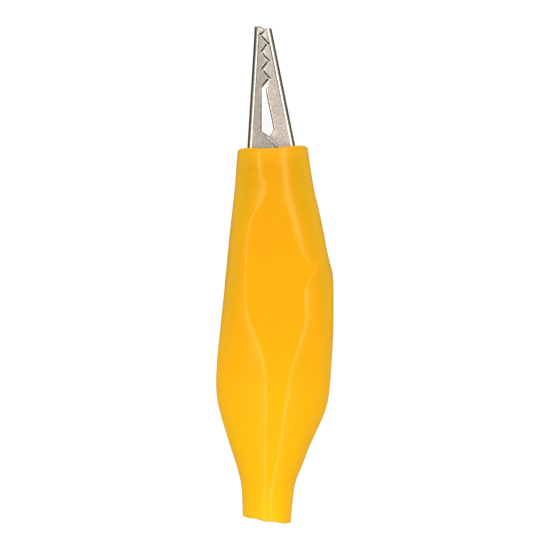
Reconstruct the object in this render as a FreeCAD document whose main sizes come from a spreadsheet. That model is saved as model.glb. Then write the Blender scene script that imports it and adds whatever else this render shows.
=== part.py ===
"""Alligator clip in an insulating boot: a parametric FreeCAD document, in millimetres.

Every sub-part is drawn about the pivot: X points to the moving jaw's side, +Y to the jaw tips,
and Z runs along the pivot pin, with Z = 0 halfway between the ears. A common Placement then puts
the assembly in its own frame: origin at the bottom centre of the whole part, lying on its side.
"""

import FreeCAD
import Part
import math
import os

import Sketcher

V = FreeCAD.Vector
DOC = FreeCAD.newDocument("alligator_clip")

DIMENSIONS = {
    # sheet-metal jaws
    "sheet": 0.45,          # thickness of the plated steel strip
    "bend": 0.55,           # outer radius where the strip is folded into a channel
    "play": 0.1,            # gap between the inner and the outer ears, each side
    "ear_half": 3.0,        # half the fixed jaw's width over its ears
    "taper_y": 3.3,         # the channels narrow from here to the tips
    "waist_y": 1.9,         # both backs change direction beside the pivot
    "fixed_tip_x": -1.72,
    "fixed_tip_y": 15.44,
    "fixed_tip_half": 1.12,
    "fixed_nose_x": -1.73,
    "fixed_nose_y": 14.72,   # the nose closes in from here
    "fixed_nose_half": 1.45,
    "fixed_waist_x": -2.5,
    "fixed_heel_x": -4.3,
    "fixed_heel_y": -15.3,
    "fixed_ear_r": 2.2,
    "moving_tip_x": 0.17,
    "moving_tip_y": 15.2,
    "moving_tip_half": 1.4,
    "moving_waist_x": 2.84,
    "moving_heel_x": 6.02,
    "moving_heel_y": -12.2,
    "moving_ear_r": 2.1,
    # teeth: the moving jaw's first tooth points at (bite_x, bite_y)
    "bite_x": -1.06,
    "bite_y": 14.5,
    "pitch": 1.92,
    "tooth": 0.8,           # tooth depth
    "lean": 0.09,           # sideways step of the bite line per tooth
    "bite_gap": 0.19,       # gap across the bite with the jaws shut
    "bite_slip": 0.06,      # the moving teeth sit this much nearer the pivot
    # pivot rivet
    "rivet_r": 0.9,
    "rivet_head_r": 1.7,
    "rivet_head": 0.38,
    "rivet_bore_r": 0.5,    # drilled end that is rolled over
    "rivet_bore": 1.6,
    "running": 0.05,        # radial clearance of the moving jaw's ears on the rivet
    # torsion spring
    "wire": 0.6,
    "coil_r": 1.35,         # mean radius
    "coil_pitch": 0.64,
    "coil_turns": 3,        # whole turns, besides the part turn between the legs
    "leg_y": -8.0,          # where the legs press on the two backs
    "leg_gap": 0.03,
    # terminal screw, in the fixed jaw's handle
    "screw_y": -13.1,
    "screw_r": 1.25,
    "screw_fit": 0.03,
    "screw_head_r": 1.9,
    "screw_head": 1.3,
    "screw_lift": 0.3,      # the head stands off the collar, open for a wire
    "slot": 0.55,
    "collar_r": 1.75,
    "collar": 0.5,
    # crimp barrel for the wire, on a tongue from the fixed jaw's heel
    "tongue": 2.4,
    "crimp_x": -0.33,       # also the axis of the boot's tail
    "crimp_r": 1.2,
    "crimp_wing": 1.1,
    "crimp_y": -20.2,
    "crimp_long": 3.0,
    # boot
    "wall": 0.8,
    "tail_slant": 0.8,      # the tail is cut off at an angle
    "neck_y": -33.2,        # the tail's round bore starts here
    "tail_bore_r": 1.7,
    # the whole part's bottom centre, seen from the pivot
    "centre_x": 0.545,
    "centre_y": -12.03,
    "below": 4.5,
}

# boot sections from the mouth to the tail: y, left and right edge, half thickness, outer and inner
# corner radius
BOOT = [
    (1.95, -3.56, 4.17, 4.2, 2.5, 1.2),
    (-2.7, -3.94, 4.92, 4.45, 2.9, 1.2),
    (-7.1, -4.44, 5.94, 4.5, 3.2, 1.2),
    (-12.2, -4.94, 6.98, 4.5, 3.4, 1.3),
    (-15.0, -5.22, 7.06, 4.5, 3.5, 1.5),
    (-20.4, -5.78, 6.94, 4.5, 3.7, 2.2),
    (-23.9, -5.97, 6.7, 4.5, 3.8, 2.6),
    (-26.0, -5.86, 6.46, 4.3, 3.8, 2.7),
    (-28.2, -5.35, 5.68, 4.0, 3.6, 2.6),
    (-31.1, -4.44, 4.39, 3.45, 3.2, 2.3),
    (-34.0, -3.5, 3.3, 2.95, 2.8, 2.0),
    (-36.0, -3.1, 2.65, 2.7, 2.5, 1.8),
    (-39.5, -3.02, 2.34, 2.6, 2.4, 1.6),
]
BOOT_KEYS = ("y", "left", "right", "half", "outer", "inner")


def make_sheet():
    """The driving dimensions, one aliased cell each."""
    sheet = DOC.addObject("Spreadsheet::Sheet", "dims")
    cells = dict(DIMENSIONS)
    for station, values in enumerate(BOOT):
        for key, value in zip(BOOT_KEYS, values):
            cells[f"boot{station}_{key}"] = value
    for row, (alias, value) in enumerate(cells.items(), start=1):
        sheet.set(f"A{row}", alias)
        sheet.set(f"B{row}", str(value))
        sheet.setAlias(f"B{row}", alias)
    DOC.recompute()
    return sheet


DIMS = make_sheet()


def number(expression):
    """The value of an expression written on the cells."""
    value = DIMS.evalExpression(str(expression))
    return float(getattr(value, "Value", value))


def bind(thing, expressions):
    """Binds properties to expressions on the cells."""
    for name, expression in expressions.items():
        thing.setExpression(name, expression)


def pin(sketch, element, point, spot):
    """Ties a point of a sketch to two expressions, measured from the sketch's origin."""
    for kind, expression in zip(("DistanceX", "DistanceY"), spot):
        index = sketch.addConstraint(
            Sketcher.Constraint(kind, -1, 1, element, point, number(expression))
        )
        sketch.setExpression(f"Constraints[{index}]", expression)


def outline(sketch, corners):
    """A closed outline through corners (x, y) or (x, y, radius); only square corners are rounded."""
    count = len(corners)
    points = [V(number(corner[0]), number(corner[1]), 0) for corner in corners]
    radii = [corner[2] if len(corner) > 2 else None for corner in corners]
    arrive, leave = [], []
    for k, (corner, radius) in enumerate(zip(corners, radii)):
        for ends, other in ((arrive, points[k - 1]), (leave, points[(k + 1) % count])):
            if radius is None:
                ends.append(corner[:2])
                continue
            way = (other - points[k]).normalize()
            ends.append(tuple(f"({at}) + ({radius}) * {round(w)}" for at, w in zip(corner[:2], way)))
    first = sketch.GeometryCount
    for k in range(count):
        start, end = leave[k], arrive[(k + 1) % count]
        ends = [V(number(x), number(y), 0) for x, y in (start, end)]
        sketch.addGeometry(Part.LineSegment(*ends), False)
        pin(sketch, first + k, 1, start)
        if radii[(k + 1) % count] is not None:
            pin(sketch, first + k, 2, end)
    for k, radius in enumerate(radii):
        before, after = first + (k - 1) % count, first + k
        if radius is None:
            sketch.addConstraint(Sketcher.Constraint("Coincident", before, 2, after, 1))
            continue
        round_corner(sketch, points[k], before, after, radius)


def round_corner(sketch, corner, before, after, radius):
    """An arc between the end of one line and the start of the next, at a square corner."""
    start = sketch.getPoint(before, 2)
    end = sketch.getPoint(after, 1)
    centre = start + end - corner
    angles = [math.atan2(p.y - centre.y, p.x - centre.x) for p in (start, end)]
    forward = (angles[1] - angles[0]) % (2 * math.pi) < math.pi
    low, high = angles if forward else reversed(angles)
    circle = Part.Circle(centre, V(0, 0, 1), number(radius))
    arc = sketch.addGeometry(Part.ArcOfCircle(circle, low, high), False)
    for line, point, arc_end in ((before, 2, 1 if forward else 2), (after, 1, 2 if forward else 1)):
        sketch.addConstraint(Sketcher.Constraint("Coincident", line, point, arc, arc_end))
    index = sketch.addConstraint(Sketcher.Constraint("Radius", arc, number(radius)))
    sketch.setExpression(f"Constraints[{index}]", radius)


def ring(sketch, radius, spot=("0", "0")):
    """A circle about a spot given as two expressions."""
    centre = V(number(spot[0]), number(spot[1]), 0)
    index = sketch.addGeometry(Part.Circle(centre, V(0, 0, 1), number(radius)), False)
    if centre.Length == 0:
        sketch.addConstraint(Sketcher.Constraint("Coincident", index, 3, -1, 1))
    else:
        pin(sketch, index, 3, spot)
    at = sketch.addConstraint(Sketcher.Constraint("Radius", index, number(radius)))
    sketch.setExpression(f"Constraints[{at}]", radius)


def place(thing, x="0", y="0"):
    """Moves a sub-part from a spot in the pivot's frame to the assembly's."""
    bind(thing, {
        ".Placement.Base.x": f"{x} - dims.centre_x",
        ".Placement.Base.y": f"{y} - dims.centre_y",
        ".Placement.Base.z": "dims.below",
    })


def aim(thing, angle):
    """Turns a sub-part's Z axis level, to an angle from X given as an expression."""
    bind(thing, {
        ".Placement.Rotation.Axis.x": f"-sin({angle})",
        ".Placement.Rotation.Axis.y": f"cos({angle})",
        ".Placement.Rotation.Axis.z": "0",
        ".Placement.Rotation.Angle": "90",
    })


def new_body(name):
    """An empty body in the assembly's Placement."""
    body = DOC.addObject("PartDesign::Body", name)
    body.Label = name
    place(body)
    return body


def plane_of(body, role):
    """One of the body's own origin planes."""
    return next(f for f in body.Origin.OriginFeatures if f.Role == role)


def sketch_on(body, name, role, height="0"):
    """A sketch on one of the body's origin planes, raised along the plane's normal."""
    sketch = body.newObject("Sketcher::SketchObject", name)
    sketch.AttachmentSupport = [(plane_of(body, role), "")]
    sketch.MapMode = "FlatFace"
    sketch.setExpression(".AttachmentOffset.Base.z", height)
    return sketch


def feature(body, kind, name, profile, **settings):
    """A sketch-based feature, which becomes the body's tip; sizes are given as expressions."""
    made = body.newObject(f"PartDesign::{kind}", name)
    made.Profile = profile
    for key, value in settings.items():
        if key in ("Length", "Angle"):
            made.setExpression(key, value)
        else:
            setattr(made, key, value)
    body.Tip = made
    return made


def mirrored(body, original):
    """A feature repeated on the other side of the middle plane."""
    copy = body.newObject("PartDesign::Mirrored", f"{original.Name}_pair")
    copy.Originals = [original]
    copy.MirrorPlane = (plane_of(body, "XY_Plane"), [""])
    body.Tip = copy
    return copy


# sheet-metal jaws

def slope(start, end):
    """Sideways step per unit of height between two points given as expressions."""
    return f"(({end[0]} - {start[0]}) / ({end[1]} - {start[1]}))"


def between(start, end, y):
    """The X at height y on the line through two points given as expressions."""
    return f"({start[0]} + (({y}) - {start[1]}) * {slope(start, end)})"


FIXED_WAIST = ("dims.fixed_waist_x", "dims.waist_y")
FIXED_HEEL = ("dims.fixed_heel_x", "dims.fixed_heel_y")
MOVING_WAIST = ("dims.moving_waist_x", "dims.waist_y")
MOVING_HEEL = ("dims.moving_heel_x", "dims.moving_heel_y")
SCREW_TURN = f"(-atan({slope(FIXED_WAIST, FIXED_HEEL)}))"
SCREW_X = between(FIXED_WAIST, FIXED_HEEL, "dims.screw_y")


def channel(body, stations, side, reach):
    """A folded strip lofted through stations (y, back, half width), open towards side (+1 or -1) X."""
    sections = []
    for index, (y, back, half) in enumerate(stations):
        section = sketch_on(body, f"{body.Name}_section{index}", "XZ_Plane", f"-({y})")
        inner = f"({half}) - dims.sheet"
        floor = f"({back}) + {side} * dims.sheet"
        crook = "(dims.bend - dims.sheet)"
        outline(section, [
            (reach, half),
            (back, half, "dims.bend"),
            (back, f"-({half})", "dims.bend"),
            (reach, f"-({half})"),
            (reach, f"-({inner})"),
            (floor, f"-({inner})", crook),
            (floor, inner, crook),
            (reach, inner),
        ])
        sections.append(section)
    return feature(
        body, "AdditiveLoft", f"{body.Name}_channel", sections[0], Sections=sections[1:], Ruled=True
    )


def bite(side):
    """One jaw's toothed edge from front to back; side is -1 for the fixed jaw, +1 for the other."""
    x = f"dims.bite_x + {side} * dims.bite_gap / 2"
    y = f"dims.bite_y - {side} * dims.bite_slip / 2"
    line = []
    for k in range(4):
        line.append((f"{x} + {k} * dims.lean", f"{y} - {k} * dims.pitch"))
        line.append((
            f"{x} + dims.tooth + {k + 0.5} * dims.lean", f"{y} - {k + 0.5} * dims.pitch",
        ))
    return line[:-1]


def trim(body, edge, reach):
    """Cuts the channel's two sides back to an edge running from the tip to the heel."""
    cutter = sketch_on(body, f"{body.Name}_edge", "XY_Plane")
    outline(cutter, edge + [(reach, edge[-1][1]), (reach, edge[0][1])])
    return feature(
        body, "Pocket", f"{body.Name}_trim", cutter, Midplane=True, Type="ThroughAll"
    )


def ears(body, radius, outer_half, hole):
    """Round ears about the pivot, one on each side, and the pivot hole through both."""
    disc = sketch_on(body, f"{body.Name}_ear_sketch", "XY_Plane", f"({outer_half}) - dims.sheet")
    ring(disc, radius)
    ear = feature(body, "Pad", f"{body.Name}_ear", disc, Length="dims.sheet")
    mirrored(body, ear)
    bore = sketch_on(body, f"{body.Name}_hole_sketch", "XY_Plane")
    ring(bore, hole)
    feature(body, "Pocket", f"{body.Name}_hole", bore, Midplane=True, Type="ThroughAll")


def make_fixed_jaw():
    body = new_body("fixed_jaw")
    nose = ("dims.fixed_nose_x", "dims.fixed_nose_y")
    channel(body, [
        ("dims.fixed_heel_y", "dims.fixed_heel_x", "dims.ear_half"),
        ("dims.waist_y", "dims.fixed_waist_x", "dims.ear_half"),
        ("dims.taper_y", between(FIXED_WAIST, nose, "dims.taper_y"), "dims.ear_half"),
        ("dims.fixed_nose_y", "dims.fixed_nose_x", "dims.fixed_nose_half"),
        ("dims.fixed_tip_y", "dims.fixed_tip_x", "dims.fixed_tip_half"),
    ], 1, "3")
    edge = [("-1.2", "dims.fixed_tip_y + 0.5"), ("-1.2", "dims.fixed_tip_y - 0.02")]
    edge += [("-0.7", "dims.fixed_tip_y - 0.2"), ("-0.6", "dims.bite_y + 0.5")]
    edge += bite(-1)[:-1]
    edge += [("-0.92", "8.8"), ("-0.95", "3.72"), ("-0.12", "3.22"), ("0.9", "2.1")]
    edge += [("0.9", "-2"), ("-2.2", "-5.4"), ("-2.95", "-10.4")]
    edge += [("-3.05", "dims.fixed_heel_y - 0.5")]
    trim(body, edge, "4")
    ears(body, "dims.fixed_ear_r", "dims.ear_half", "dims.rivet_r")
    add_tongue(body)
    add_crimp(body)
    add_collar(body)
    return body


def add_tongue(body):
    """A strip that leads from the heel to the crimp barrel."""
    base = "(dims.crimp_x - dims.crimp_r - dims.sheet)"
    side = sketch_on(body, "tongue_side", "XY_Plane")
    outline(side, [
        ("dims.fixed_heel_x + 0.03", "dims.fixed_heel_y + 0.2"),
        ("dims.fixed_heel_x", "dims.fixed_heel_y"),
        (base, "dims.crimp_y + 0.6"),
        (base, "dims.crimp_y - 0.4"),
        (f"{base} + dims.sheet", "dims.crimp_y - 0.4"),
        (f"{base} + dims.sheet", "dims.crimp_y + 0.75"),
        ("dims.fixed_heel_x + dims.sheet", "dims.fixed_heel_y + 0.1"),
        ("dims.fixed_heel_x + dims.sheet", "dims.fixed_heel_y + 0.2"),
    ])
    feature(body, "Pad", "tongue", side, Midplane=True, Length="dims.tongue")


def add_crimp(body):
    """An open barrel, still to be closed round a wire."""
    section = sketch_on(body, "crimp_section", "XZ_Plane", "-dims.crimp_y")
    outer = "(dims.crimp_r + dims.sheet)"
    inner = "dims.crimp_r"
    wing = "dims.crimp_x + dims.crimp_wing"
    outline(section, [
        (wing, outer),
        (f"dims.crimp_x - {outer}", outer, f"({outer} - 0.01)"),
        (f"dims.crimp_x - {outer}", f"-{outer}", f"({outer} - 0.01)"),
        (wing, f"-{outer}"),
        (wing, f"-{inner}"),
        (f"dims.crimp_x - {inner}", f"-{inner}", f"({inner} - 0.01)"),
        (f"dims.crimp_x - {inner}", inner, f"({inner} - 0.01)"),
        (wing, inner),
    ])
    feature(body, "Pad", "crimp", section, Length="dims.crimp_long")


def add_collar(body):
    """A tapped collar inside the handle's back for the terminal screw."""
    sketch = screw_sketch(body, "collar_sketch", "dims.sheet / 2")
    ring(sketch, "dims.collar_r")
    feature(body, "Pad", "collar_boss", sketch, Length="dims.collar + dims.sheet / 2")
    hole = screw_sketch(body, "screw_hole_sketch", "dims.sheet")
    ring(hole, "dims.screw_r + dims.screw_fit")
    feature(body, "Pocket", "screw_hole", hole, Midplane=True, Length="6")


def screw_sketch(body, name, depth):
    """A sketch square to the handle's back at the screw, a depth inside its outer face."""
    sketch = body.newObject("Sketcher::SketchObject", name)
    sketch.AttachmentSupport = [(plane_of(body, "YZ_Plane"), "")]
    sketch.MapMode = "FlatFace"
    sketch.AttachmentOffset = FreeCAD.Placement(V(), FreeCAD.Rotation(V(0, 1, 0), -1))
    bind(sketch, {
        ".AttachmentOffset.Base.x": f"dims.screw_y + ({depth}) * sin({SCREW_TURN})",
        ".AttachmentOffset.Base.z": f"{SCREW_X} + ({depth}) * cos({SCREW_TURN})",
        ".AttachmentOffset.Rotation.Angle": f"{SCREW_TURN}",
    })
    return sketch


def make_moving_jaw():
    body = new_body("moving_jaw")
    tip = ("dims.moving_tip_x", "dims.moving_tip_y")
    inside = "(dims.ear_half - dims.sheet - dims.play)"
    channel(body, [
        ("dims.moving_heel_y", "dims.moving_heel_x", inside),
        ("dims.waist_y", "dims.moving_waist_x", inside),
        ("dims.taper_y", between(MOVING_WAIST, tip, "dims.taper_y"), inside),
        ("dims.moving_tip_y", "dims.moving_tip_x", "dims.moving_tip_half"),
    ], -1, "-4")
    edge = [("-0.5", "dims.moving_tip_y + 0.5"), ("-0.5", "dims.bite_y + 0.45")]
    edge += bite(1)[:-1]
    edge += [("-0.29", "9"), ("-0.45", "8.5"), ("-0.36", "7.9"), ("0.39", "4.3")]
    edge += [("0.45", "3.9"), ("-0.1", "3.1"), ("-1.3", "1.65")]
    edge += [("-1.3", "-1.65"), ("1.22", "-2.67"), ("3.56", "-9.6"), ("5.4", "-11.4")]
    edge += [("6.3", "dims.moving_heel_y - 0.3")]
    trim(body, edge, "-5")
    ears(body, "dims.moving_ear_r", inside, "(dims.rivet_r + dims.running)")
    return body


# rivet, screw and spring

def make_rivet():
    """A semi-tubular rivet: a rounded head below, and a rolled-over end above."""
    body = new_body("pivot_rivet")
    profile = sketch_on(body, "rivet_profile", "XZ_Plane")
    top = "(dims.ear_half + dims.rivet_head)"
    outline(profile, [
        ("0", f"-{top}"),
        ("dims.rivet_head_r", f"-{top}", "(dims.rivet_head * 0.9)"),
        ("dims.rivet_head_r", "-dims.ear_half"),
        ("dims.rivet_r", "-dims.ear_half"),
        ("dims.rivet_r", "dims.ear_half"),
        ("dims.rivet_head_r", "dims.ear_half"),
        ("dims.rivet_head_r", top, "(dims.rivet_head * 0.9)"),
        ("dims.rivet_bore_r", top),
        ("dims.rivet_bore_r", f"{top} - dims.rivet_bore"),
        ("0", f"{top} - dims.rivet_bore - 0.3"),
    ])
    turn = feature(body, "Revolution", "rivet_turning", profile, Angle="360")
    turn.ReferenceAxis = (profile, ["V_Axis"])
    return body


def make_screw():
    """A slotted cheese-head screw, its thread left plain, square to the fixed handle's back."""
    body = new_body("terminal_screw")
    place(body, SCREW_X, "dims.screw_y")
    aim(body, SCREW_TURN)
    profile = sketch_on(body, "screw_profile", "XZ_Plane")
    seat = "(dims.sheet + dims.collar + dims.screw_lift)"
    top = f"({seat} + dims.screw_head)"
    outline(profile, [
        ("0", "0.03"),
        ("dims.screw_r - 0.2", "0.03"),
        ("dims.screw_r", "0.23"),
        ("dims.screw_r", seat),
        ("dims.screw_head_r", seat),
        ("dims.screw_head_r", top, "0.2"),
        ("0", top),
    ])
    turn = feature(body, "Revolution", "screw_turning", profile, Angle="360")
    turn.ReferenceAxis = (profile, ["V_Axis"])
    slot = sketch_on(body, "slot_sketch", "XY_Plane", top)
    outline(slot, [
        ("-dims.screw_head_r - 0.2", "-dims.slot / 2"),
        ("dims.screw_head_r + 0.2", "-dims.slot / 2"),
        ("dims.screw_head_r + 0.2", "dims.slot / 2"),
        ("-dims.screw_head_r - 0.2", "dims.slot / 2"),
    ])
    feature(body, "Pocket", "driver_slot", slot, Length="dims.screw_head / 2")
    return body


def leg(name, end_x, side, z):
    """A straight spring leg from the coil to a handle's back, with its start rounded over.

    side is +1 for the leg on the moving jaw's side and -1 for the other; returns the parts and
    the angle round the coil where the leg leaves it.
    """
    reach = f"sqrt({end_x}^2 + dims.leg_y^2)"
    angle = f"(atan2(dims.leg_y; {end_x}) + {side} * acos(dims.coil_r / {reach}))"
    start = {
        ".Placement.Base.x": f"dims.coil_r * cos({angle})",
        ".Placement.Base.y": f"dims.coil_r * sin({angle})",
        ".Placement.Base.z": z,
    }
    rod = DOC.addObject("Part::Cylinder", f"{name}_rod")
    bind(rod, start | {"Radius": "dims.wire / 2", "Height": f"sqrt({reach}^2 - dims.coil_r^2)"})
    aim(rod, f"({angle} - {side} * 90 deg)")
    knee = DOC.addObject("Part::Sphere", f"{name}_knee")
    bind(knee, start | {"Radius": "dims.wire * 0.515"})
    return [rod, knee], angle


def make_spring():
    """A torsion spring round the rivet whose legs push the two handles apart."""
    inner = "(dims.sheet + dims.wire / 2 + dims.leg_gap)"
    fixed_x = f"({between(FIXED_WAIST, FIXED_HEEL, 'dims.leg_y')} + {inner})"
    moving_x = f"({between(MOVING_WAIST, MOVING_HEEL, 'dims.leg_y')} - {inner})"
    first, start = leg("moving_leg", moving_x, 1, "0")
    last, end = leg("fixed_leg", fixed_x, -1, "0")
    turns = f"(dims.coil_turns + ({end} + 360 deg - {start}) / 360 deg)"
    height = f"(dims.coil_pitch * {turns})"
    for thing, z in [(t, f"-{height} / 2") for t in first] + [(t, f"{height} / 2") for t in last]:
        thing.setExpression(".Placement.Base.z", z)
    spine = DOC.addObject("Part::Helix", "coil_spine")
    bind(spine, {
        "Pitch": "dims.coil_pitch",
        "Height": height,
        "Radius": "dims.coil_r",
        ".Placement.Base.z": f"-{height} / 2",
        ".Placement.Rotation.Angle": start,
    })
    section = DOC.addObject("Part::Circle", "coil_section")
    bind(section, {
        "Radius": "dims.wire / 2",
        ".Placement.Base.x": f"dims.coil_r * cos({start})",
        ".Placement.Base.y": f"dims.coil_r * sin({start})",
        ".Placement.Base.z": f"-{height} / 2",
    })
    aim(section, f"({start} + 90 deg)")
    coil = DOC.addObject("Part::Sweep", "coil")
    coil.Sections = [section]
    coil.Spine = (spine, ["Edge1"])
    coil.Solid = True
    coil.Frenet = True
    spring = DOC.addObject("Part::MultiFuse", "torsion_spring")
    spring.Shapes = [coil] + first + last
    spring.Label = "torsion_spring"
    place(spring)
    return spring


# boot

def boot_section(body, name, y, left, right, half, corner):
    """A rounded rectangle across the boot."""
    section = sketch_on(body, name, "XZ_Plane", f"-({y})")
    outline(section, [
        (left, half, corner),
        (left, f"-({half})", corner),
        (right, f"-({half})", corner),
        (right, half, corner),
    ])
    return section


def make_boot():
    """A dip-moulded sleeve: open at the mouth, hollow over the handles, round-bored in the tail."""
    body = new_body("boot")
    bore = "dims.tail_bore_r"
    outside, hollow = [], []
    for k in range(len(BOOT)):
        y, left, right, half, outer, inner = (f"dims.boot{k}_{key}" for key in BOOT_KEYS)
        outside.append(boot_section(body, f"outside{k}", y, left, right, half, outer))
        if k < len(BOOT) - 3:
            hollow.append(boot_section(
                body, f"inside{k}", y, f"({left} + dims.wall)", f"({right} - dims.wall)",
                f"({half} - dims.wall)", inner,
            ))
    hollow.append(boot_section(
        body, "neck", "dims.neck_y", f"(dims.crimp_x - {bore})", f"(dims.crimp_x + {bore})",
        bore, f"({bore} - 0.05)",
    ))
    feature(body, "AdditiveLoft", "sleeve", outside[0], Sections=outside[1:], Ruled=True)
    feature(body, "SubtractiveLoft", "hollow", hollow[0], Sections=hollow[1:], Ruled=True)
    tube = sketch_on(body, "tail_bore_sketch", "XZ_Plane", "-(dims.neck_y + 0.1)")
    ring(tube, bore, ("dims.crimp_x", "0"))
    feature(body, "Pocket", "tail_bore", tube, Length="9", Reversed=True)
    cut_tail(body)
    return body


def cut_tail(body):
    """The tail's end, trimmed at a slant."""
    wedge = sketch_on(body, "tail_end", "XY_Plane")
    last = len(BOOT) - 1
    low = f"dims.boot{last}_y"
    outline(wedge, [
        (f"dims.boot{last}_left - 1", f"{low} + dims.tail_slant * 1.2"),
        (f"dims.boot{last}_right", low),
        (f"dims.boot{last}_right", f"{low} - 1"),
        (f"dims.boot{last}_left - 1", f"{low} - 1"),
    ])
    feature(body, "Pocket", "tail_cut", wedge, Midplane=True, Type="ThroughAll")


def check():
    """Stops on any object that failed to recompute."""
    for thing in DOC.Objects:
        if "Invalid" in thing.State or "Error" in thing.State:
            raise RuntimeError(f"{thing.Name}: {thing.State} {thing.getStatusString()}")


def main():
    parts = [
        make_fixed_jaw(), make_moving_jaw(), make_rivet(), make_spring(), make_screw(), make_boot(),
    ]
    DOC.recompute()
    check()
    os.makedirs("parts", exist_ok=True)
    for part in parts:
        shape = part.Shape
        if shape.isNull() or not shape.isValid() or len(shape.Solids) != 1:
            raise RuntimeError(f"{part.Label}: its shape is not one valid solid")
        shape.exportStep(f"parts/{part.Label}.step")
        size = shape.BoundBox
        print(f"{part.Label}: {shape.Volume:.2f} mm3, {size}")


main()
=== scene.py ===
"""Looks of the booted alligator clip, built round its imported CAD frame.

Blender's own lengths are metres. The tables and named sizes here are millimetres and, unless they
say otherwise, they count from the jaw pivot.
"""

import math

import bmesh
import bpy
import numpy as np
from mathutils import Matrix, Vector


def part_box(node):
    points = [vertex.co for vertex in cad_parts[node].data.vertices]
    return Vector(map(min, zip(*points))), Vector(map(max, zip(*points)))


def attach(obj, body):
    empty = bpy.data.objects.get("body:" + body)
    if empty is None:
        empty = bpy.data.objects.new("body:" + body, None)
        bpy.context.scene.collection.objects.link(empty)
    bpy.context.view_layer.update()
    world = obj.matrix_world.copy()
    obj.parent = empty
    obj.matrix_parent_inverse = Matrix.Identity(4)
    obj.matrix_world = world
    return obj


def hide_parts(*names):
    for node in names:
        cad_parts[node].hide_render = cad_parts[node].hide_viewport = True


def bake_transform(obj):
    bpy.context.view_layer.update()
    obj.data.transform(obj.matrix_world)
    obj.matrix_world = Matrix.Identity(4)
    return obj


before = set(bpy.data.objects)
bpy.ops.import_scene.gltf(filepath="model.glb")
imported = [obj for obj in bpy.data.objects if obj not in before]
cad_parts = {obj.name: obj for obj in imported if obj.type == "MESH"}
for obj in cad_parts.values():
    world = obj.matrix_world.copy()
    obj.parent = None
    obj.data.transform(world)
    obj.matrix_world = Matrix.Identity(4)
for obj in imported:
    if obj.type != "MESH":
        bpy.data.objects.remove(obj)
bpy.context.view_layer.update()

MM = 0.001
PIVOT = Vector((-0.545, 12.03, 4.5))            # the jaw pivot in the row frame
FIXED, MOVING = "fixed_side", "moving_side"

# The boot's outside from the mouth to the tail: height along the clip, left and right edge,
# half thickness, left and right ridge, and how square its shoulders are.
BOOT = np.array([
    (1.6, -3.61, 4.21, 4.22, -0.70, 0.75, 2.0),
    (0, -3.75, 4.45, 4.33, -0.68, 0.75, 2.0),
    (-2.7, -3.94, 4.92, 4.44, -0.05, 0.88, 2.0),
    (-4.4, -4.13, 5.32, 4.48, -0.92, 1.46, 2.0),
    (-5.8, -4.29, 5.64, 4.50, -1.80, 2.00, 2.0),
    (-7.6, -4.49, 6.01, 4.50, -2.22, 2.55, 2.0),
    (-9.3, -4.66, 6.32, 4.50, -2.40, 3.05, 2.0),
    (-10.6, -4.78, 6.62, 4.50, -2.46, 4.00, 1.9),
    (-11.7, -4.89, 6.92, 4.50, -2.50, 4.90, 1.8),
    (-12.6, -4.98, 7.03, 4.50, -2.50, 4.25, 1.8),
    (-14.2, -5.13, 7.06, 4.50, -2.50, 3.60, 1.9),
    (-16.4, -5.36, 7.06, 4.50, -2.20, 3.65, 1.9),
    (-18.4, -5.57, 7.04, 4.50, -1.50, 3.35, 1.8),
    (-20.6, -5.80, 6.93, 4.49, -0.70, 2.75, 1.7),
    (-22.6, -5.95, 6.80, 4.46, -0.35, 2.15, 1.6),
    (-24.2, -5.99, 6.68, 4.40, -0.25, 1.85, 1.6),
    (-25.8, -5.89, 6.48, 4.26, -0.25, 1.60, 1.6),
    (-27.2, -5.60, 6.14, 4.08, -0.25, 1.40, 1.6),
    (-29.1, -5.05, 5.33, 3.76, -0.27, 1.20, 1.6),
    (-31.1, -4.43, 4.41, 3.42, -0.30, 0.90, 1.7),
    (-33.1, -3.78, 3.64, 3.08, -0.32, 0.50, 1.7),
    (-35.1, -3.25, 2.85, 2.78, -0.38, 0.10, 1.7),
    (-37.1, -3.09, 2.48, 2.64, -0.42, -0.10, 1.7),
    (-38.7, -3.05, 2.32, 2.58, -0.42, -0.12, 1.7),
])
MOUTH_Y, TAIL_Y = 1.55, -38.75                  # where the rolled lip and the cut tail start
MOUTH_ROLL, TAIL_ROLL = 0.38, 0.16              # how far each end rounds out beyond that

# the hollow inside: over the handles it is boxy, and in the tail it is a round bore
WALL, TOP_THINNING, BOXY = 0.78, 0.12, 1.6
TAIL_AXIS, TAIL_BORE, BORE_FLAT = -0.33, 1.68, 0.1
BOXY_ENDS = 15.5, 18.5                          # below the pivot
BORE_STARTS = 28.5, 33.5                        # below the pivot

# the ends are cut a little out of square
TAIL_SLANT, TAIL_LEFT, TAIL_RIPPLE = -0.15, 2.7, 0.05
TAIL_SLANTS = 35.0, 38.5                        # below the pivot
MOUTH_SLANT, MOUTH_MIDDLE, MOUTH_DIP = 0.045, 0.3, 0.10
MOUTH_SLANTS = -3.0, 1.5                        # above the pivot
TAIL_WAVE, MOUTH_WAVE = 3, 0.9                  # radians a millimetre

OUTER_RINGS, INNER_RINGS, LIP_STEPS = 190, 60, 8
SIDE_STEPS, TOP_STEPS = 20, 18

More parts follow.
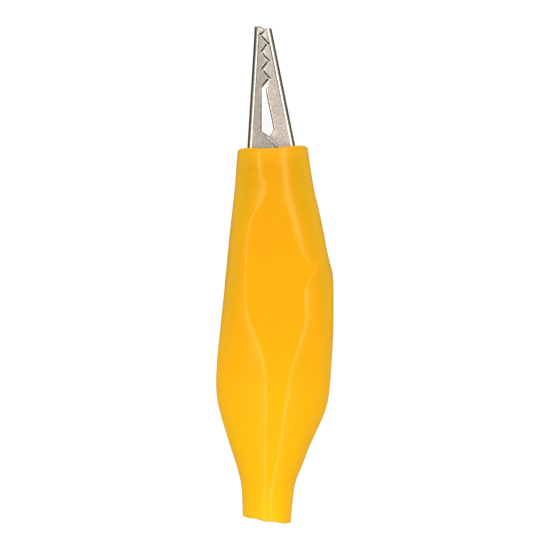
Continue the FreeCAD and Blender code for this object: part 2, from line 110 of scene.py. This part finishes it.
# how the vinyl falls away outside each ridge: distance below the pivot, steepness, reach, softness
RIDGE_L = np.array([
    (-2, 0.22, 1.2, 0.14), (1.5, 0.22, 1.2, 0.14), (2.6, 0.30, 1.2, 0.14), (5, 0.32, 1.2, 0.14),
    (12, 0.26, 1.2, 0.14), (18, 0.24, 1.4, 0.14), (23, 0.40, 2.6, 0.22), (33, 0.38, 2.2, 0.22),
    (39, 0.30, 1.2, 0.14),
])
RIDGE_R = np.array([
    (-2, 0.26, 1.2, 0.14), (0.4, 0.20, 1.2, 0.14), (1.4, 0.06, 1.2, 0.14), (3, 0.26, 1.2, 0.14),
    (8, 0.32, 1.2, 0.14), (9.8, 0.05, 1.2, 0.14), (10.8, 0.05, 1.2, 0.14), (11.6, 0.28, 1.2, 0.14),
    (13.5, 0.32, 1.2, 0.14), (17, 0.24, 1.2, 0.16), (23, 0.38, 2.2, 0.32), (31, 0.34, 2.0, 0.28),
    (39, 0.30, 1.2, 0.14),
])
TOP_DIP, LEAST_SPAN = 0.05, 0.2                 # the face between the ridges dips at its middle

# small dents and bumps of the upper face: middle, size across and along, turn, height
DENTS = (
    (0.56, 0.45, 0.22, 0.24, 0.0, 0.07),
    (-1.05, -0.9, 0.22, 0.3, 0.3, 0.08),
    (-0.55, -2.3, 0.45, 0.4, 0.6, 0.06),
    (4.4, -10.5, 0.8, 1.5, -0.9, -0.16),
    (2.0, -15.5, 1.2, 2.4, 0.2, -0.06),
    (0.4, -6.5, 0.9, 2.0, 0.1, -0.04),
    (0.6, -19.5, 0.4, 0.25, 0.4, 0.03),
    (-0.5, -30.0, 0.25, 1.6, 0.0, 0.03),
)

# the jaws' stamped edges
STAMP_EDGE = 0.09                               # how far they are broken
ROLLED_EDGE = 0.18                              # how far they are rolled beside the window
ROLLED_FROM, ROLLED_TO = 0.0, 8.9
SHEET_LIMIT = 0.8                               # longer than the sheet is thick
UPRIGHT = 0.98                                  # how nearly upright an edge through it stands
WELD = 0.002
FLAT_ANGLE, RIM_ANGLE, SMOOTH_ANGLE = math.radians(0.6), math.radians(40), math.radians(26)
EDGE_STEPS = 3

# the torsion spring
WIRE_RADIUS, COIL_RADIUS, COIL_TURNS, COIL_STEPS = 0.3, 1.35, 4, 120
MOVING_LEG, FIXED_LEG = (4.31, -8.0), (-2.76, -8.0)     # the legs' far ends

# the studio: each soft light's tilt from overhead, compass turn, distance and size in metres,
# and radiance
LIGHTS = {
    "left_box": (math.radians(33), math.pi, 0.6, (0.8, 0.12), 5.4),
    "right_box": (math.radians(33), 0.0, 0.6, (0.8, 0.12), 5.4),
    "top_box": (math.radians(54), math.pi / 2, 0.7, (0.5, 0.2), 1.7),
}
SKY = (                                         # how high up, and how bright
    (0.0, 0.06), (0.25, 0.20), (0.5, 0.60), (0.75, 0.74), (0.9, 0.68), (1.0, 0.57),
)
SKY_TINT = 1.0, 0.985, 0.965
FLOOR_REACH = 3.0                               # in metres
VIEW_WIDTH = 550 / 9                            # what the picture takes in at the pivot's height
VIEW_CENTRE = 0.01, -0.08                       # in the row frame
LENS, SENSOR = 200, 36


def at_pivot(x, y, z=0.0):
    """A point counted from the pivot, in metres in the row frame."""
    return (PIVOT + Vector((x, y, z))) * MM


def fade(value, start, end):
    """0 before start, 1 after end, smoothly between."""
    t = min(max((value - start) / (end - start), 0.0), 1.0)
    return t * t * (3 - 2 * t)


def add_object(name, data):
    """A new object in the scene."""
    thing = bpy.data.objects.new(name, data)
    bpy.context.collection.objects.link(thing)
    return thing


# boot

def smooth(table, y):
    """The table's row at height y, on a smooth curve through its rows."""
    heights = table[:, 0]
    y = min(max(y, heights[-1]), heights[0])
    k = int(np.clip(np.searchsorted(-heights, -y) - 1, 0, len(heights) - 2))
    steps = np.diff(table, axis=0)
    slopes = steps[:, 1:] / steps[:, :1]
    tangents = np.vstack([slopes[:1], (slopes[1:] + slopes[:-1]) / 2, slopes[-1:]])
    span = heights[k + 1] - heights[k]
    t = (y - heights[k]) / span
    low, high = table[k, 1:], table[k + 1, 1:]
    rise = (2 * t**3 - 3 * t**2 + 1) * low + (3 * t**2 - 2 * t**3) * high
    pull = (t**3 - 2 * t**2 + t) * tangents[k] + (t**3 - t**2) * tangents[k + 1]
    return rise + span * pull


def outer_shape(y):
    """The outside's section at height y, as in a row of BOOT after its height."""
    return smooth(BOOT, y)


def inner_shape(y):
    """The hollow's section: boxy over the handles, easing to a round bore in the tail."""
    left, right, half, ridge_l, ridge_r, power = outer_shape(y)
    power += BOXY * (1 - fade(-y, *BOXY_ENDS))
    top = half - WALL + TOP_THINNING
    over_handles = np.array([left + WALL, right - WALL, top, ridge_l, ridge_r, power])
    bore = np.array([
        TAIL_AXIS - TAIL_BORE, TAIL_AXIS + TAIL_BORE, TAIL_BORE,
        TAIL_AXIS - BORE_FLAT, TAIL_AXIS + BORE_FLAT, 2.0,
    ])
    share = fade(-y, *BORE_STARTS)
    return (1 - share) * over_handles + share * bore


def relief(x, y, shape):
    """Height added to the upper face: soft ridges where the vinyl bridges the handles, and dents."""
    _, _, _, ridge_l, ridge_r, _ = shape
    height = 0.0
    for side, ridge, table in ((-1, ridge_l, RIDGE_L), (1, ridge_r, RIDGE_R)):
        fall, reach, soft = (np.interp(-y, table[:, 0], table[:, k]) for k in (1, 2, 3))
        past = soft * math.log1p(math.exp(min(side * (x - ridge) / soft, 60)))
        height -= fall * past * math.exp(-past / reach)
    middle, span = (ridge_l + ridge_r) / 2, max((ridge_r - ridge_l) / 2, LEAST_SPAN)
    height -= TOP_DIP * max(0.0, 1 - ((x - middle) / span) ** 2)
    for cx, cy, across, along, turn, depth in DENTS:
        dx, dy = x - cx, y - cy
        out = (dx * math.cos(turn) + dy * math.sin(turn)) / across
        way = (dy * math.cos(turn) - dx * math.sin(turn)) / along
        height += depth * math.exp(-(out * out + way * way))
    return height


def shoulder(power):
    """A quarter of a superellipse as shares of its width and height, from its side to near its top."""
    angles = [math.pi / 2 * k / SIDE_STEPS for k in range(SIDE_STEPS)]
    return [(math.cos(a) ** (2 / power), math.sin(a) ** (2 / power)) for a in angles]


def ring_points(shape, y, modelled=0.0):
    """One closed section, from the left edge over the top to the right and back underneath."""
    left, right, half, ridge_l, ridge_r, power = shape
    side = shoulder(power)
    top = [(ridge_l - (ridge_l - left) * out, half * up) for out, up in side]
    top += [(ridge_l + (ridge_r - ridge_l) * k / TOP_STEPS, half) for k in range(TOP_STEPS + 1)]
    top += [(ridge_r + (right - ridge_r) * out, half * up) for out, up in reversed(side)]
    upper = [(x, z + modelled * relief(x, y, shape) * z / half) for x, z in top]
    under = [(x, -z) for x, z in top[-2:0:-1]]
    return upper + under


def lip_rings(end, roll, inwards):
    """The rings that round one end, from the outside to the inside of the wall or back."""
    rings = []
    for k in range(1, LIP_STEPS):
        turn = math.pi * k / LIP_STEPS
        share = (1 - math.cos(turn)) / 2
        if not inwards:
            share = 1 - share
        mixed = (1 - share) * outer_shape(end) + share * inner_shape(end)
        rings.append((end + roll * math.sin(turn), ring_points(mixed, end, 1 - share)))
    return rings


def boot_rings():
    """Every ring of the boot in order: down the outside, into the tail, back up the inside."""
    down = np.linspace(MOUTH_Y, TAIL_Y, OUTER_RINGS)
    up = np.linspace(TAIL_Y, MOUTH_Y, INNER_RINGS)
    outside = [(y, ring_points(outer_shape(y), y, 1.0)) for y in down]
    inside = [(y, ring_points(inner_shape(y), y)) for y in up]
    tail = lip_rings(TAIL_Y, -TAIL_ROLL, True)
    mouth = lip_rings(MOUTH_Y, MOUTH_ROLL, False)
    return outside + tail + inside + mouth


def boot_slant(x, y):
    """How far a point moves along the clip so that both ends are cut a little out of square."""
    tail = TAIL_SLANT * (x - TAIL_AXIS + TAIL_LEFT) + TAIL_RIPPLE * math.sin(TAIL_WAVE * x)
    mouth = MOUTH_SLANT * (x - MOUTH_MIDDLE) - MOUTH_DIP * math.cos(MOUTH_WAVE * x)
    return fade(-y, *TAIL_SLANTS) * tail + fade(y, *MOUTH_SLANTS) * mouth


def smooth_piece(name, points, faces):
    """A smooth-shaded mesh with its faces pointing outwards."""
    mesh = bpy.data.meshes.new(name)
    mesh.from_pydata(points, [], faces)
    shape = bmesh.new()
    shape.from_mesh(mesh)
    bmesh.ops.recalc_face_normals(shape, faces=shape.faces)
    shape.to_mesh(mesh)
    shape.free()
    mesh.shade_smooth()
    return add_object(name, mesh)


def make_boot():
    rings = boot_rings()
    count = len(rings[0][1])
    points = [at_pivot(x, y + boot_slant(x, y), z) for y, ring in rings for x, z in ring]
    faces = []
    for row in range(len(rings)):
        after = (row + 1) % len(rings)
        for k in range(count):
            on = (k + 1) % count
            faces.append((row * count + k, row * count + on, after * count + on, after * count + k))
    boot = smooth_piece("boot_skin", points, faces)
    boot.data.materials.append(vinyl())
    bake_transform(boot)
    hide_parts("boot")


# materials

class Nodes:
    """A small helper that adds and joins the nodes of one material."""

    def __init__(self, name):
        self.material = bpy.data.materials.new(name)
        self.material.use_nodes = True
        self.tree = self.material.node_tree
        self.shader = next(n for n in self.tree.nodes if n.type == "BSDF_PRINCIPLED")

    def put(self, socket, value):
        """Links the socket if the value is another node's output, or else sets it."""
        if isinstance(value, bpy.types.NodeSocket):
            self.tree.links.new(value, socket)
        else:
            socket.default_value = value

    def add(self, kind, inputs=None, **settings):
        node = self.tree.nodes.new(f"ShaderNode{kind}")
        for key, value in settings.items():
            setattr(node, key, value)
        for key, value in (inputs or {}).items():
            self.put(node.inputs[key], value)
        return node

    def set(self, **values):
        """Sets or links the shader's own sockets; underscores stand for spaces."""
        for key, value in values.items():
            self.put(self.shader.inputs[key.replace("_", " ")], value)

    def place(self):
        return self.add("TexCoord").outputs["Object"]

    def ramp(self, factor, stops):
        node = self.add("ValToRGB", {"Fac": factor})
        fill_ramp(node, stops)
        return node.outputs["Color"]

    def noise(self, where, scale, detail=3.0, roughness=0.5, stretch=None):
        if stretch:
            where = self.add("Mapping", {"Vector": where, "Scale": stretch}).outputs["Vector"]
        inputs = {"Vector": where, "Scale": scale, "Detail": detail, "Roughness": roughness}
        return self.add("TexNoise", inputs).outputs["Fac"]

    def math(self, operation, *values):
        return self.add("Math", dict(enumerate(values)), operation=operation).outputs["Value"]

    def mix(self, factor, first, second):
        """Two colours mixed; the sockets go by number, because names are shared between types."""
        node = self.add("Mix", data_type="RGBA")
        for socket, value in ((0, factor), (6, first), (7, second)):
            self.put(node.inputs[socket], (*value, 1) if isinstance(value, tuple) else value)
        return node.outputs[2]

    def remap(self, value, low, high, bottom, top):
        """The value's range from low to high, stretched and kept between bottom and top."""
        node = self.add("MapRange", {
            "Value": value, "From Min": low, "From Max": high, "To Min": bottom, "To Max": top,
        })
        return node.outputs["Result"]

    def bump(self, height, distance, strength=1.0, normal=None):
        inputs = {"Height": height, "Distance": distance, "Strength": strength}
        if normal is not None:
            inputs["Normal"] = normal
        return self.add("Bump", inputs).outputs["Normal"]


def fill_ramp(node, stops):
    """Gives a colour ramp its stops, each a position and a linear colour."""
    elements = node.color_ramp.elements
    while len(elements) < len(stops):
        elements.new(0.5)
    for element, (position, colour) in zip(elements, stops):
        element.position = position
        element.color = (*colour, 1)


def linear(red, green, blue):
    """An sRGB colour in 0..255 as linear light."""
    def one(value):
        value /= 255
        return value / 12.92 if value <= 0.04045 else ((value + 0.055) / 1.055) ** 2.4
    return one(red), one(green), one(blue)


def vinyl_colour(n, where):
    """Yellow, deeper towards the mouth where metal lies behind it (partly the vinyl's own tone, partly
    painted shade), and paler along the flanks as painted light through the vinyl, with a few specks.
    """
    height = n.add("SeparateXYZ", {"Vector": where}).outputs["Y"]
    along = n.remap(height, -0.0275, 0.014, 0, 1)
    wander = n.math("SUBTRACT", n.noise(where, scale=160, detail=2), 0.5)
    along = n.math("ADD", along, n.math("MULTIPLY", wander, 0.05))
    # darker towards the mouth: partly the vinyl's own tone and partly painted shade, where the metal
    # behind the thin vinyl blocks light coming through it
    body = n.ramp(along, [
        (0.00, linear(248, 192, 8)),
        (0.10, linear(250, 185, 0)),
        (0.30, linear(252, 180, 0)),
        (0.52, linear(248, 168, 0)),
        (0.72, linear(236, 163, 1)),
        (0.95, linear(222, 157, 3)),
        (1.00, linear(232, 166, 16)),
    ])
    # painted light: faces turned sideways are mixed toward a paler yellow to stand in for light
    # shining through the vinyl's thin walls
    upright = n.add("SeparateXYZ", {"Vector": n.add("TexCoord").outputs["Normal"]}).outputs["Z"]
    painted_flank_light = n.remap(n.math("ABSOLUTE", upright), 0.92, 0.35, 0.0, 0.75)
    body = n.mix(painted_flank_light, body, linear(255, 196, 34))
    cloud = n.noise(where, scale=420, detail=4, roughness=0.6)
    body = n.mix(n.math("MULTIPLY", cloud, 0.10), body, linear(226, 150, 8))
    cells = n.add("TexVoronoi", {"Vector": where, "Scale": 330, "Randomness": 1.0})
    dot = n.math("LESS_THAN", cells.outputs["Distance"], 0.035)
    return n.mix(n.math("MULTIPLY", dot, 0.35), body, linear(150, 95, 5))


def vinyl():
    """Semi-gloss dip-moulded vinyl: faintly wavy, with a fine orange peel and mottled gloss."""
    n = Nodes("boot_vinyl")
    where = n.place()
    mottled = n.noise(where, scale=900, detail=5, roughness=0.6)
    orange_peel = n.noise(where, scale=700)
    wave = n.noise(where, scale=110, detail=2)
    normal = n.bump(wave, 0.00025, 0.35)
    normal = n.bump(orange_peel, 0.00002, 0.4, normal)
    n.set(
        Base_Color=vinyl_colour(n, where), Normal=normal, IOR=1.5,
        Roughness=n.math("MULTIPLY_ADD", mottled, 0.12, 0.18),
        Specular_IOR_Level=0.35, Specular_Tint=(1.0, 0.93, 0.4, 1),
        Subsurface_Weight=0.22, Subsurface_Radius=(1.0, 0.5, 0.1), Subsurface_Scale=0.0008,
        Sheen_Weight=0.06, Sheen_Roughness=0.3, Sheen_Tint=(1.0, 0.85, 0.35, 1),
    )
    return n.material


def nickel(name, tone, rough, lines_along=(1, 1, 1), edge=None):
    """Satin nickel plate: faint rolling lines, cloudy stains, fine grit, and softened edges."""
    n = Nodes(name)
    where = n.place()
    lines = n.noise(where, scale=2600, roughness=0.7, stretch=lines_along)
    stain = n.noise(where, scale=380, detail=4, roughness=0.6)
    grit = n.noise(where, scale=4300, detail=2, roughness=0.7)
    warm = tuple(c * k for c, k in zip(tone, (1.06, 1.00, 0.95)))
    cool = tuple(c * k for c, k in zip(tone, (0.86, 0.92, 0.95)))
    colour = n.mix(n.math("MULTIPLY_ADD", stain, 3.0, -1.0), cool, warm)
    colour = n.mix(n.remap(lines, 0.38, 0.68, 0.0, 0.5), colour, tuple(0.60 * c for c in tone))
    colour = n.mix(n.remap(grit, 0.38, 0.68, 0.0, 0.7), colour, tuple(0.50 * c for c in tone))
    roughness = n.math("MULTIPLY_ADD", lines, 0.12, rough)
    roughness = n.math("MULTIPLY_ADD", stain, 0.10, roughness)
    rounded = n.add("Bevel", {"Radius": edge}, samples=6).outputs["Normal"] if edge else None
    normal = n.bump(stain, 0.00003, 0.2, rounded)
    normal = n.bump(lines, 0.00001, 0.5, normal)
    normal = n.bump(grit, 0.000008, 0.5, normal)
    n.set(Base_Color=colour, Metallic=1.0, Roughness=roughness, Normal=normal)
    return n.material


# metal

def dress(node, material):
    """Gives a CAD node its material."""
    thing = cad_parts[node]
    thing.data.materials.clear()
    thing.data.materials.append(material)


def is_through_sheet(edge):
    """Whether an edge is a short one straight through a side's sheet, such as a tooth's corner."""
    along = edge.verts[1].co - edge.verts[0].co
    return along.length < SHEET_LIMIT * MM and abs(along.z) > UPRIGHT * along.length


def is_beside_window(edge):
    """Whether an edge lies in the jaws' plain stretch, between the pivot and the last tooth."""
    return all(ROLLED_FROM < vert.co.y / MM - PIVOT.y < ROLLED_TO for vert in edge.verts)


def round_edges(shape, offset, beside_window):
    """Rounds the sharp rims of the sheet, either those beside the window or all the others."""
    rims = [
        edge for edge in shape.edges
        if len(edge.link_faces) == 2 and edge.calc_face_angle() > RIM_ANGLE
        and not is_through_sheet(edge) and is_beside_window(edge) == beside_window
    ]
    bmesh.ops.bevel(
        shape, geom=rims, offset=offset * MM, offset_type="OFFSET", segments=EDGE_STEPS,
        profile=0.5, affect="EDGES", clamp_overlap=False,
    )


def make_jaw(node, body, material):
    """The CAD jaw again with its stamped edges broken by a small bevel."""
    shape = bmesh.new()
    shape.from_mesh(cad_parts[node].data)
    bmesh.ops.remove_doubles(shape, verts=shape.verts, dist=WELD * MM)
    bmesh.ops.dissolve_limit(shape, angle_limit=FLAT_ANGLE, verts=shape.verts, edges=shape.edges)
    round_edges(shape, ROLLED_EDGE, True)
    round_edges(shape, STAMP_EDGE, False)
    for edge in shape.edges:
        edge.smooth = len(edge.link_faces) != 2 or edge.calc_face_angle() < SMOOTH_ANGLE
    bmesh.ops.triangulate(shape, faces=[f for f in shape.faces if len(f.verts) > 4])
    mesh = bpy.data.meshes.new(f"{node}_plate")
    shape.to_mesh(mesh)
    shape.free()
    mesh.shade_smooth()
    mesh.materials.append(material)
    jaw = add_object(f"{node}_plate", mesh)
    jaw.modifiers.new("flat faces", "WEIGHTED_NORMAL").keep_sharp = True
    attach(jaw, body)
    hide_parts(node)


def make_metal():
    fixed = nickel("fixed_jaw_nickel", linear(226, 215, 202), 0.2, lines_along=(0.12, 1, 1))
    moving = nickel("moving_jaw_nickel", linear(252, 240, 226), 0.2, lines_along=(0.12, 1, 1))
    make_jaw("fixed_jaw", FIXED, fixed)
    make_jaw("moving_jaw", MOVING, moving)
    rivet = nickel("rivet_nickel", linear(214, 206, 194), 0.3, (1, 1, 0.1), edge=0.00008)
    screw = nickel("screw_nickel", linear(216, 208, 192), 0.28, edge=0.00006)
    dress("pivot_rivet", rivet)
    dress("terminal_screw", screw)


# spring

def spring_path():
    """The wire's middle line and the heights of the coil's two ends."""
    box_low, box_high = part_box("torsion_spring")
    low = box_low[2] / MM - PIVOT.z + WIRE_RADIUS
    high = box_high[2] / MM - PIVOT.z - WIRE_RADIUS
    angles = []
    for (x, y), side in ((MOVING_LEG, 1), (FIXED_LEG, -1)):
        angles.append(math.atan2(y, x) + side * math.acos(COIL_RADIUS / math.hypot(x, y)))
    start, end = angles[0], angles[1] + 2 * math.pi * COIL_TURNS
    path = [(*MOVING_LEG, low)]
    for k in range(COIL_STEPS + 1):
        share = k / COIL_STEPS
        angle = start + (end - start) * share
        height = low + (high - low) * share
        path.append((COIL_RADIUS * math.cos(angle), COIL_RADIUS * math.sin(angle), height))
    path.append((*FIXED_LEG, high))
    return path, low, high


def make_spring():
    """The torsion spring as one swept wire: two legs and the coil between them."""
    path, low, high = spring_path()
    curve = bpy.data.curves.new("torsion_coil", "CURVE")
    curve.dimensions = "3D"
    curve.bevel_depth = WIRE_RADIUS * MM
    curve.bevel_resolution = 5
    curve.use_fill_caps = True
    spline = curve.splines.new("POLY")
    spline.points.add(len(path) - 1)
    for point, spot in zip(spline.points, path):
        point.co = (*at_pivot(*spot), 1)
    source = add_object("torsion_source", curve)
    graph = bpy.context.evaluated_depsgraph_get()
    mesh = bpy.data.meshes.new_from_object(source.evaluated_get(graph))
    bpy.data.objects.remove(source)
    mesh.shade_smooth()
    mesh.materials.clear()
    mesh.materials.append(nickel("drawn_wire", linear(165, 163, 162), 0.28))
    spring = add_object("torsion_coil", mesh)
    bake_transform(spring)
    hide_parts("torsion_spring")


# studio

def make_floor():
    """A pale table that glows enough to leave no shadow round the clip, as on a light table."""
    far = FLOOR_REACH
    mesh = bpy.data.meshes.new("floor")
    corners = [(-far, -far, 0), (far, -far, 0), (far, far, 0), (-far, far, 0)]
    mesh.from_pydata(corners, [], [(0, 1, 2, 3)])
    floor = add_object("floor", mesh)
    n = Nodes("light_table")
    tint = n.noise(n.place(), scale=40)
    n.set(
        Base_Color=n.mix(tint, (0.13, 0.13, 0.13), (0.16, 0.16, 0.16)), Roughness=0.9,
        Specular_IOR_Level=0.0, Emission_Color=(1, 1, 1, 1), Emission_Strength=0.93,
    )
    mesh.materials.append(n.material)
    floor.visible_glossy = False


def make_lights():
    """Soft rectangular lights, each tipped from overhead towards its side and facing the clip."""
    for name, (tilt, turn, distance, size, radiance) in LIGHTS.items():
        light = bpy.data.lights.new(name, "AREA")
        light.shape = "RECTANGLE"
        light.size, light.size_y = size
        light.energy = math.pi * size[0] * size[1] * radiance
        lamp = add_object(name, light)
        level = math.sin(tilt)
        way = Vector((level * math.cos(turn), level * math.sin(turn), math.cos(tilt)))
        lamp.location = way * distance
        lamp.rotation_euler = way.to_track_quat("Z", "Y").to_euler()


def make_world():
    """Pale above, falling to dark at the horizon and below it."""
    world = bpy.data.worlds.new("studio")
    world.use_nodes = True
    tree = world.node_tree
    tree.nodes.clear()
    where = tree.nodes.new("ShaderNodeTexCoord")
    split = tree.nodes.new("ShaderNodeSeparateXYZ")
    ramp = tree.nodes.new("ShaderNodeValToRGB")
    back = tree.nodes.new("ShaderNodeBackground")
    out = tree.nodes.new("ShaderNodeOutputWorld")
    tree.links.new(where.outputs["Generated"], split.inputs["Vector"])
    tree.links.new(split.outputs["Z"], ramp.inputs["Fac"])
    tree.links.new(ramp.outputs["Color"], back.inputs["Color"])
    tree.links.new(back.outputs["Background"], out.inputs["Surface"])
    fill_ramp(ramp, [(height, tuple(level * c for c in SKY_TINT)) for height, level in SKY])
    bpy.context.scene.world = world


def make_view():
    """Plain colours, without a film look."""
    view = bpy.context.scene.view_settings
    view.view_transform = "Standard"
    view.look = "None"


def make_camera():
    """A long lens that looks straight down on the clip."""
    data = bpy.data.cameras.new("camera")
    data.lens = LENS
    data.sensor_width = SENSOR
    data.clip_start, data.clip_end = 0.01, 10
    camera = add_object("camera", data)
    height = PIVOT.z + VIEW_WIDTH * LENS / SENSOR
    camera.location = Vector((*VIEW_CENTRE, height)) * MM
    bpy.context.scene.camera = camera


def main():
    make_boot()
    make_spring()
    make_metal()
    make_floor()
    make_lights()
    make_world()
    make_view()
    make_camera()


main()
